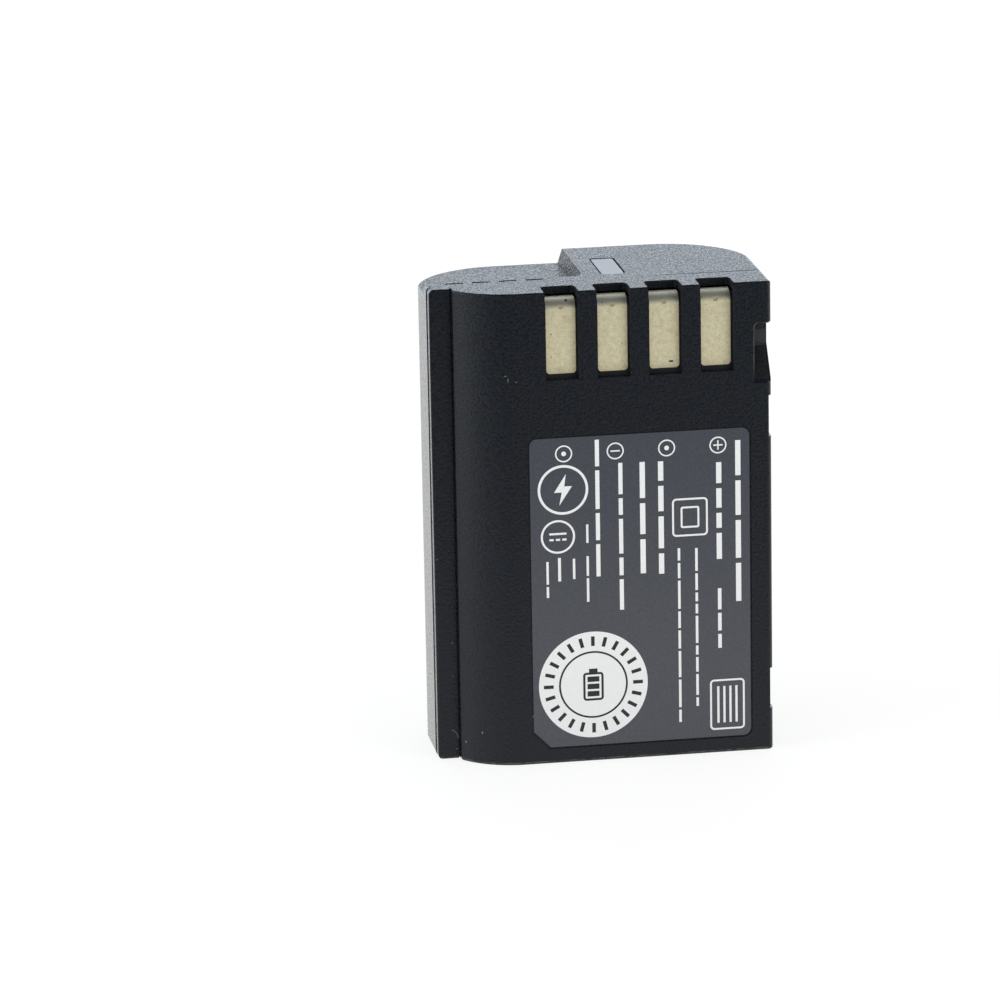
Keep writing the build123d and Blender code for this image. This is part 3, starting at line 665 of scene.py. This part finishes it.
def rounded_box(x0, x1, z0, z1, radius):
    """Round-cornered box as a loop of points, anticlockwise."""
    points = []
    corners = ((x1 - radius, z0 + radius, -90), (x1 - radius, z1 - radius, 0),
               (x0 + radius, z1 - radius, 90), (x0 + radius, z0 + radius, 180))
    for x, z, start in corners:
        turns = [math.radians(start + 90 * step / CORNER_STEPS) for step in range(CORNER_STEPS + 1)]
        points += arc_points(x, z, radius, turns)
    return points


def neighbours(count):
    """Each point of a closed loop with the next one."""
    return [(here, (here + 1) % count) for here in range(count)]


def add_plate(mesh, outline, layer):
    """Thin solid plate inside one loop of points; a layer is its back and its front."""
    far, near = [[mesh.verts.new((x, y, z)) for x, z in outline] for y in layer]
    mesh.faces.new(near)
    mesh.faces.new(reversed(far))
    for here, there in neighbours(len(outline)):
        mesh.faces.new((near[there], near[here], far[here], far[there]))


def add_band(mesh, outer, inner, layer):
    """Thin solid band between two loops with as many points."""
    back, front = layer
    rings = [[mesh.verts.new((x, y, z)) for x, z in loop]
             for loop, y in ((outer, front), (inner, front), (inner, back), (outer, back))]
    for here, there in neighbours(len(outer)):
        for first, second in neighbours(len(rings)):
            near, far = rings[first], rings[second]
            mesh.faces.new((near[here], near[there], far[there], far[here]))


def add_ring(mesh, x, z, radius, stroke, layer):
    """Printed ring, its stroke inside the radius."""
    add_band(mesh, circle(x, z, radius), circle(x, z, radius - stroke), layer)


def add_frame(mesh, x0, x1, z0, z1, radius, stroke, layer):
    """Printed round-cornered frame, its stroke inside the edges."""
    inner_radius = max(radius - stroke, SHARPEST_SHARE * stroke)
    inner = rounded_box(x0 + stroke, x1 - stroke, z0 + stroke, z1 - stroke, inner_radius)
    add_band(mesh, rounded_box(x0, x1, z0, z1, radius), inner, layer)


def add_bar(mesh, x0, x1, z0, z1, layer):
    """Printed bar with square ends."""
    add_plate(mesh, [(x0, z0), (x1, z0), (x1, z1), (x0, z1)], layer)


def make_piece(name, mesh, material):
    """Close a bmesh into an object of one material that rides on the battery."""
    bmesh.ops.recalc_face_normals(mesh, faces=mesh.faces)
    data = bpy.data.meshes.new(name)
    mesh.to_mesh(data)
    mesh.free()
    data.materials.clear()
    data.materials.append(material)
    piece = put_in_scene(name, data)
    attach(piece, "root")


data_x, minus_x, thermistor_x, plus_x = contact_middles
half = SIGN_STROKE / 2
for x in contact_middles:
    add_ring(print_mesh, x, MARK_Z, MARK_RADIUS, MARK_STROKE, ink_layer)
for x in (minus_x, plus_x):
    add_bar(print_mesh, x - SIGN_REACH, x + SIGN_REACH, MARK_Z - half, MARK_Z + half, ink_layer)
for low, high in ((MARK_Z - SIGN_REACH, MARK_Z - half), (MARK_Z + half, MARK_Z + SIGN_REACH)):
    add_bar(print_mesh, plus_x - half, plus_x + half, low, high, ink_layer)
for x in (data_x, thermistor_x):
    add_plate(print_mesh, circle(x, MARK_Z, DOT_RADIUS, ROUND_STEPS // 2), ink_layer)

# Bolt in the large ring: middle, radius and stroke of the ring, and the corners of the bolt in millimetres.
LARGE_RING = (-4.96 * MM, 32.83 * MM, 2.95 * MM, 0.30 * MM)
BOLT = ((0.35, 1.85), (-1.05, -0.30), (-0.15, -0.30), (-0.45, -1.85), (1.05, 0.40), (0.15, 0.40))

add_ring(print_mesh, *LARGE_RING, ink_layer)
ring_x, ring_z = LARGE_RING[:2]
add_plate(print_mesh, [(ring_x + x * MM, ring_z + z * MM) for x, z in BOLT], ink_layer)

# Sign for direct current in the small ring: a line over three dashes.
SMALL_RING = (-5.63 * MM, 27.27 * MM, 2.0 * MM, 0.24 * MM)
CURRENT_REACH = 1.0 * MM
CURRENT_STROKE = 0.24 * MM
CURRENT_RISE = 0.35 * MM
CURRENT_DASHES = 3
CURRENT_GAP = 0.26 * MM

add_ring(print_mesh, *SMALL_RING, ink_layer)
ring_x, ring_z = SMALL_RING[:2]
half = CURRENT_STROKE / 2
upper = ring_z + CURRENT_RISE
lower = ring_z - CURRENT_RISE
add_bar(print_mesh, ring_x - CURRENT_REACH, ring_x + CURRENT_REACH, upper - half, upper + half, ink_layer)
dash = (2 * CURRENT_REACH - (CURRENT_DASHES - 1) * CURRENT_GAP) / CURRENT_DASHES
for number in range(CURRENT_DASHES):
    start = ring_x - CURRENT_REACH + number * (dash + CURRENT_GAP)
    add_bar(print_mesh, start, start + dash, lower - half, lower + half, ink_layer)

# Square in a square, and a page with lines: left, right, lower and upper edge of each outer frame.
SQUARE = (7.74 * MM, 11.93 * MM, 26.43 * MM, 30.99 * MM)
PAGE = (12.02 * MM, 16.13 * MM, 2.78 * MM, 8.91 * MM)
FRAME_RADIUS = 0.5 * MM
FRAME_STROKE = 0.22 * MM
SQUARE_INSET = 1.0 * MM
PAGE_LINES = 4
PAGE_INSET = 0.85 * MM
PAGE_STROKE = 0.26 * MM

for sides in (SQUARE, PAGE):
    add_frame(print_mesh, *sides, FRAME_RADIUS, FRAME_STROKE, ink_layer)
x0, x1, z0, z1 = SQUARE
add_frame(print_mesh, x0 + SQUARE_INSET, x1 - SQUARE_INSET, z0 + SQUARE_INSET, z1 - SQUARE_INSET,
          FRAME_RADIUS / 2, FRAME_STROKE, ink_layer)
x0, x1, z0, z1 = PAGE
step = (x1 - x0 - 2 * PAGE_INSET - PAGE_STROKE) / (PAGE_LINES - 1)
for number in range(PAGE_LINES):
    start = x0 + PAGE_INSET + number * step
    add_bar(print_mesh, start, start + PAGE_STROKE, z0 + PAGE_INSET, z1 - PAGE_INSET, ink_layer)
make_piece("label_print", print_mesh, pale_ink)

# White disc
# One round of the pale ink low on the label, and black ink printed over it when it is dry: a ring, dial
# marks round it and a plain battery sign in the middle.

BLACK_INK_DARK = (0.008, 0.008, 0.009)
BLACK_INK_LIGHT = (0.016, 0.016, 0.017)
BLACK_THICKNESS = 0.008 * MM
DISC_X = -1.73 * MM
DISC_Z = 9.26 * MM
DISC_RADIUS = 6.4 * MM
DISC_RING = 4.05 * MM
DISC_STROKE = 0.22 * MM
DIAL_COUNT = 24
DIAL_RADIUS = 5.25 * MM
DIAL_LENGTH = 1.15 * MM
DIAL_WIDTH = 0.42 * MM

black_ink = mottled("black_ink", BLACK_INK_DARK, BLACK_INK_LIGHT, grain=0.12 * MM, height=0.002 * MM,
                    roughness=0.5)
white_front = ink_layer[1]
black_layer = (white_front + INK_SUNK, white_front - BLACK_THICKNESS)

disc_mesh = bmesh.new()
add_plate(disc_mesh, circle(DISC_X, DISC_Z, DISC_RADIUS, 2 * ROUND_STEPS), ink_layer)
make_piece("label_disc", disc_mesh, pale_ink)


def dial_tree():
    """Marks set round a circle, each lying along its radius."""
    tree, given, identifiers = new_tree("dial_marks", {
        "Count": "Int", "Radius": "Float", "Length": "Float", "Width": "Float", "Thickness": "Float",
        "Ink": "Material"})
    ring = add_node(tree, "GeometryNodeMeshCircle", {"Vertices": given["Count"], "Radius": given["Radius"]})
    place = add_node(tree, "GeometryNodeInputPosition").outputs["Position"]
    outward = add_node(tree, "FunctionNodeAlignRotationToVector", {"Vector": place}, axis="Y")
    mark = add_node(tree, "GeometryNodeMeshCube", {
        "Size": vector_of(tree, given["Width"], given["Length"], given["Thickness"])})
    lay_marks(tree, ring.outputs["Mesh"], mark.outputs["Mesh"], given["Ink"],
              {"Rotation": outward.outputs["Rotation"]})
    return tree, identifiers


black_mesh = bmesh.new()
add_ring(black_mesh, DISC_X, DISC_Z, DISC_RING, DISC_STROKE, black_layer)
tree, identifiers = dial_tree()
dial = grown(tree, identifiers, {
    "Count": DIAL_COUNT, "Radius": DIAL_RADIUS, "Length": DIAL_LENGTH, "Width": DIAL_WIDTH,
    "Thickness": INK_SUNK + BLACK_THICKNESS, "Ink": black_ink})
dial.transform(Matrix.Translation((DISC_X, sum(black_layer) / 2, DISC_Z))
               @ Matrix.Rotation(math.radians(90), 4, "X"))
black_mesh.from_mesh(dial)
bpy.data.meshes.remove(dial)

# Battery sign: an outline, its end and three level bars.
SIGN_WIDTH = 2.4 * MM
SIGN_HEIGHT = 3.4 * MM
SIGN_END_WIDTH = 1.0 * MM
SIGN_END = 0.45 * MM
SIGN_LINE = 0.26 * MM
SIGN_RADIUS = 0.4 * MM
LEVEL_COUNT = 3
LEVEL_GAP = 0.24 * MM

half = SIGN_WIDTH / 2
end_half = SIGN_END_WIDTH / 2
sign_low = DISC_Z - (SIGN_HEIGHT + SIGN_END) / 2
sign_high = sign_low + SIGN_HEIGHT
add_frame(black_mesh, DISC_X - half, DISC_X + half, sign_low, sign_high, SIGN_RADIUS, SIGN_LINE, black_layer)
add_bar(black_mesh, DISC_X - end_half, DISC_X + end_half, sign_high, sign_high + SIGN_END, black_layer)
inset = SIGN_LINE + LEVEL_GAP
level = (SIGN_HEIGHT - 2 * inset - (LEVEL_COUNT - 1) * LEVEL_GAP) / LEVEL_COUNT
for number in range(LEVEL_COUNT):
    z = sign_low + inset + number * (level + LEVEL_GAP)
    add_bar(black_mesh, DISC_X - half + inset, DISC_X + half - inset, z, z + level, black_layer)
make_piece("disc_marks", black_mesh, black_ink)

# Stage
# A white sweep of card in a tent of light, with a large softbox behind and a fill on each side. A dark flag
# hangs in the tent over the camera, which stands a little to the left and above.

FLOOR_SIZE = 6.0
FLOOR_COLOUR = (0.80, 0.80, 0.80)
SHADOW_SHARE = (0.22, 0.22, 0.22)
FLOOR_GLOW = 0.81
# Glow of the floor in reflections: it falls off towards the camera, between two places in y.
MIRRORED_GLOW = 1.0
DIM_FROM = -0.05
DIM_TO = -0.17
DIM_LEVEL = 0.10
WHITE = (1, 1, 1)
SURROUND_LEVEL = 0.75
BACKDROP_LEVEL = 1.0
# Tent in reflections: its tint and level, and the flag with its direction, its edges and its level.
TENT_COLOUR = (0.80, 0.90, 1.04)
TENT_LEVEL = 1.0
FLAG_SIDE = (0.0, -0.62, 0.78)
FLAG_EDGE = 0.55
FLAG_CORE = 0.80
FLAG_LEVEL = 0.12


def camera_sees(owner):
    """One for camera rays."""
    return add_node(owner, "ShaderNodeLightPath").outputs["Is Camera Ray"]


def seen_directly(owner):
    """One for camera, glossy and transmission rays."""
    path = add_node(owner, "ShaderNodeLightPath").outputs
    return most(owner, path["Is Camera Ray"], path["Is Glossy Ray"], path["Is Transmission Ray"])


def either(owner, factor, first, second):
    """Shader that goes from the first to the second with a factor."""
    return add_node(owner, "ShaderNodeMixShader", {0: factor, 1: first, 2: second}).outputs["Shader"]


edge = FLOOR_SIZE / 2
floor_data = bpy.data.meshes.new("floor")
floor_data.from_pydata([(-edge, -edge, 0), (edge, -edge, 0), (edge, edge, 0), (-edge, edge, 0)], [],
                       [(0, 1, 2, 3)])
floor = put_in_scene("floor", floor_data)

sweep = bpy.data.materials.new("white_sweep")
sweep.use_nodes = True
sweep.node_tree.nodes.remove(sweep.node_tree.nodes["Principled BSDF"])
matt = add_node(sweep, "ShaderNodeBsdfDiffuse", {"Color": (*FLOOR_COLOUR, 1)})
shade = add_node(sweep, "ShaderNodeBsdfDiffuse", {"Color": (*SHADOW_SHARE, 1)})
dimmed = fade(sweep, coordinate(sweep, "Y"), DIM_FROM, DIM_TO, MIRRORED_GLOW, DIM_LEVEL)
glow = add_node(sweep, "ShaderNodeEmission", {
    "Strength": fade(sweep, camera_sees(sweep), 0.0, 1.0, dimmed, FLOOR_GLOW)})
lit = add_node(sweep, "ShaderNodeAddShader", {0: shade.outputs["BSDF"], 1: glow.outputs["Emission"]})
feed(either(sweep, seen_directly(sweep), matt.outputs["BSDF"], lit.outputs["Shader"]),
     sweep.node_tree.nodes["Material Output"].inputs["Surface"])
floor_data.materials.append(sweep)

world = bpy.data.worlds.new("light_tent")
world.use_nodes = True
world.node_tree.nodes.remove(world.node_tree.nodes["Background"])
bpy.context.scene.world = world


def surround(colour, level):
    """Light from all round, of a colour and a level."""
    return add_node(world, "ShaderNodeBackground", {
        "Color": (*colour, 1), "Strength": level}).outputs["Background"]


direction = add_node(world, "ShaderNodeTexCoord").outputs["Generated"]
to_flag = add_node(world, "ShaderNodeVectorMath", {0: direction, 1: Vector(FLAG_SIDE).normalized()},
                   operation="DOT_PRODUCT").outputs["Value"]
tent = surround(TENT_COLOUR, fade(world, to_flag, FLAG_EDGE, FLAG_CORE, TENT_LEVEL, FLAG_LEVEL))
seen = either(world, camera_sees(world), tent, surround(WHITE, BACKDROP_LEVEL))
feed(either(world, seen_directly(world), surround(WHITE, SURROUND_LEVEL), seen),
     world.node_tree.nodes["World Output"].inputs["Surface"])

# Lamps: place, size and power in metres and watts, all aimed at the middle of the battery.
LAMPS = (("rear_softbox", (0.1, 1.1, 0.42), 1.1, 5.2), ("left_fill", (-0.9, -0.2, 0.35), 0.6, 3.6),
         ("right_fill", (0.8, -0.8, 0.35), 0.6, 2.6))
LAMP_COLOUR = (0.90, 0.96, 1.0)
LAMP_AIM = Vector((0, 0, 0.028))

for name, place, size, power in LAMPS:
    lamp = bpy.data.lights.new(name, "AREA")
    lamp.size = size
    lamp.energy = power
    lamp.color = LAMP_COLOUR
    stand = put_in_scene(name, lamp)
    stand.location = place
    stand.rotation_euler = (LAMP_AIM - Vector(place)).to_track_quat("-Z", "Y").to_euler()

CAMERA_PLACE = Vector((-105.154, -618.114, 199.736)) * MM
CAMERA_AIM = Vector((-10.611, -0.065, 29.044)) * MM
CAMERA_ROLL = math.radians(-1.064)
CAMERA_LENS = 200.0
CAMERA_SENSOR = 36.0

lens = bpy.data.cameras.new("camera")
lens.lens = CAMERA_LENS
lens.sensor_width = CAMERA_SENSOR
camera = put_in_scene("camera", lens)
forward = (CAMERA_AIM - CAMERA_PLACE).normalized()
level_right = forward.cross(Vector((0, 0, 1))).normalized()
level_up = level_right.cross(forward)
right = math.cos(CAMERA_ROLL) * level_right + math.sin(CAMERA_ROLL) * level_up
up = right.cross(forward)
camera.matrix_world = Matrix((right, up, -forward)).transposed().to_4x4()
camera.location = CAMERA_PLACE
bpy.context.scene.camera = camera

bpy.context.scene.view_settings.view_transform = "Standard"
